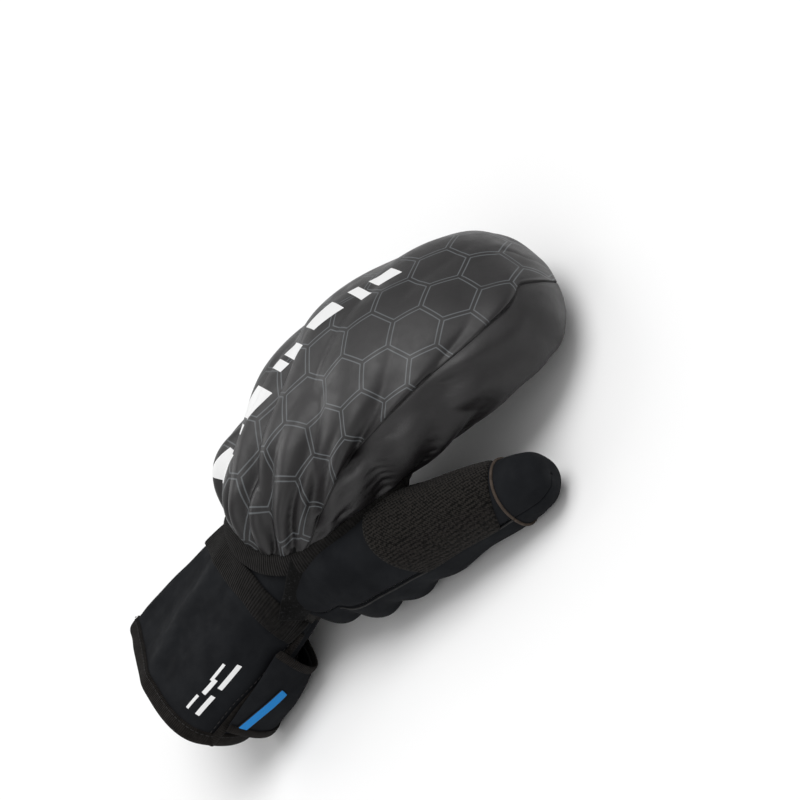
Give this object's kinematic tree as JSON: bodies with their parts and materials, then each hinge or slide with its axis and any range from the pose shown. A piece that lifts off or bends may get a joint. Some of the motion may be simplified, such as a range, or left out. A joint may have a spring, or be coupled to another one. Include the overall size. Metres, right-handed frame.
{
  "type": "ski mitten",
  "caption": "Left-hand convertible ski mitten: insulated glove with a printed nylon hood over the fingers, terry thumb patch and a cuff with a hook-and-loop tab.",
  "frame": {"origin": "centre of the bounding box, on the surface that the mitten lies on, palm down", "axes": "+X towards the thumb side, +Y from cuff to fingertips, +Z out of the back of the hand"},
  "size_m": [0.1697, 0.281, 0.0881],
  "materials": {
    "softshell": "smooth stretch softshell, charcoal blue-black",
    "hood_print": "satin nylon, printed with a pale line honeycomb",
    "hood_nylon": "satin nylon, unprinted",
    "elastic": "ribbed matte elastic",
    "binding": "ribbed matte tape",
    "hook_and_loop": "hook and loop tape",
    "label": "woven label, bright blue",
    "terry": "looped terry",
    "leather": "fine-grained synthetic leather",
    "insulation": "white fibre wadding",
    "lining": "brushed knit"
  },
  "bodies": {
    "glove": {"cuff_back_panel": "softshell", "cuff_edge_binding": "binding", "cuff_hem_binding": "binding", "cuff_loop_patch": "hook_and_loop", "cuff_palm_panel": "softshell", "hand_back_panel": "softshell", "hand_palm_panel": "leather", "hood_anchor_strap": "elastic", "index_finger_back": "softshell", "index_finger_palm": "leather", "insulation_hand": "insulation", "insulation_index": "insulation", "insulation_little": "insulation", "insulation_middle": "insulation", "insulation_ring": "insulation", "insulation_thumb": "insulation", "lining_hand": "lining", "lining_index": "lining", "lining_little": "lining", "lining_middle": "lining", "lining_ring": "lining", "lining_thumb": "lining", "little_finger_back": "softshell", "little_finger_palm": "leather", "middle_finger_back": "softshell", "middle_finger_palm": "leather", "palm_reinforcement": "leather", "ring_finger_back": "softshell", "ring_finger_palm": "leather", "thumb_back": "softshell", "thumb_palm": "leather", "thumb_tip": "softshell", "thumb_wipe_patch": "terry", "wrist_band": "elastic", "wrist_elastic": "elastic"},
    "hood": {"hood_back_panel": "hood_print", "hood_gusset": "hood_nylon", "hood_hem_elastic": "elastic", "hood_palm_panel": "hood_nylon"},
    "wrist_tab": {"tab_binding": "binding", "tab_hook_patch": "hook_and_loop", "tab_label": "label", "tab_panel": "softshell"}
  },
  "joints": [
    {"name": "hood_turn_back", "type": "hinge", "parent": "glove", "child": "hood", "pos_m": [-0.0202, -0.05, 0.066], "axis": [1, 0, 0], "range_deg": [0, 165], "deforming": ["hood_back_panel", "hood_gusset", "hood_hem_elastic", "hood_palm_panel"]},
    {"name": "wrist_tab_open", "type": "hinge", "parent": "glove", "child": "wrist_tab", "pos_m": [0.03063, -0.09558, 0.0423], "axis": [0.1191, -0.9929, 0], "range_deg": [0, 150]}
  ]
}
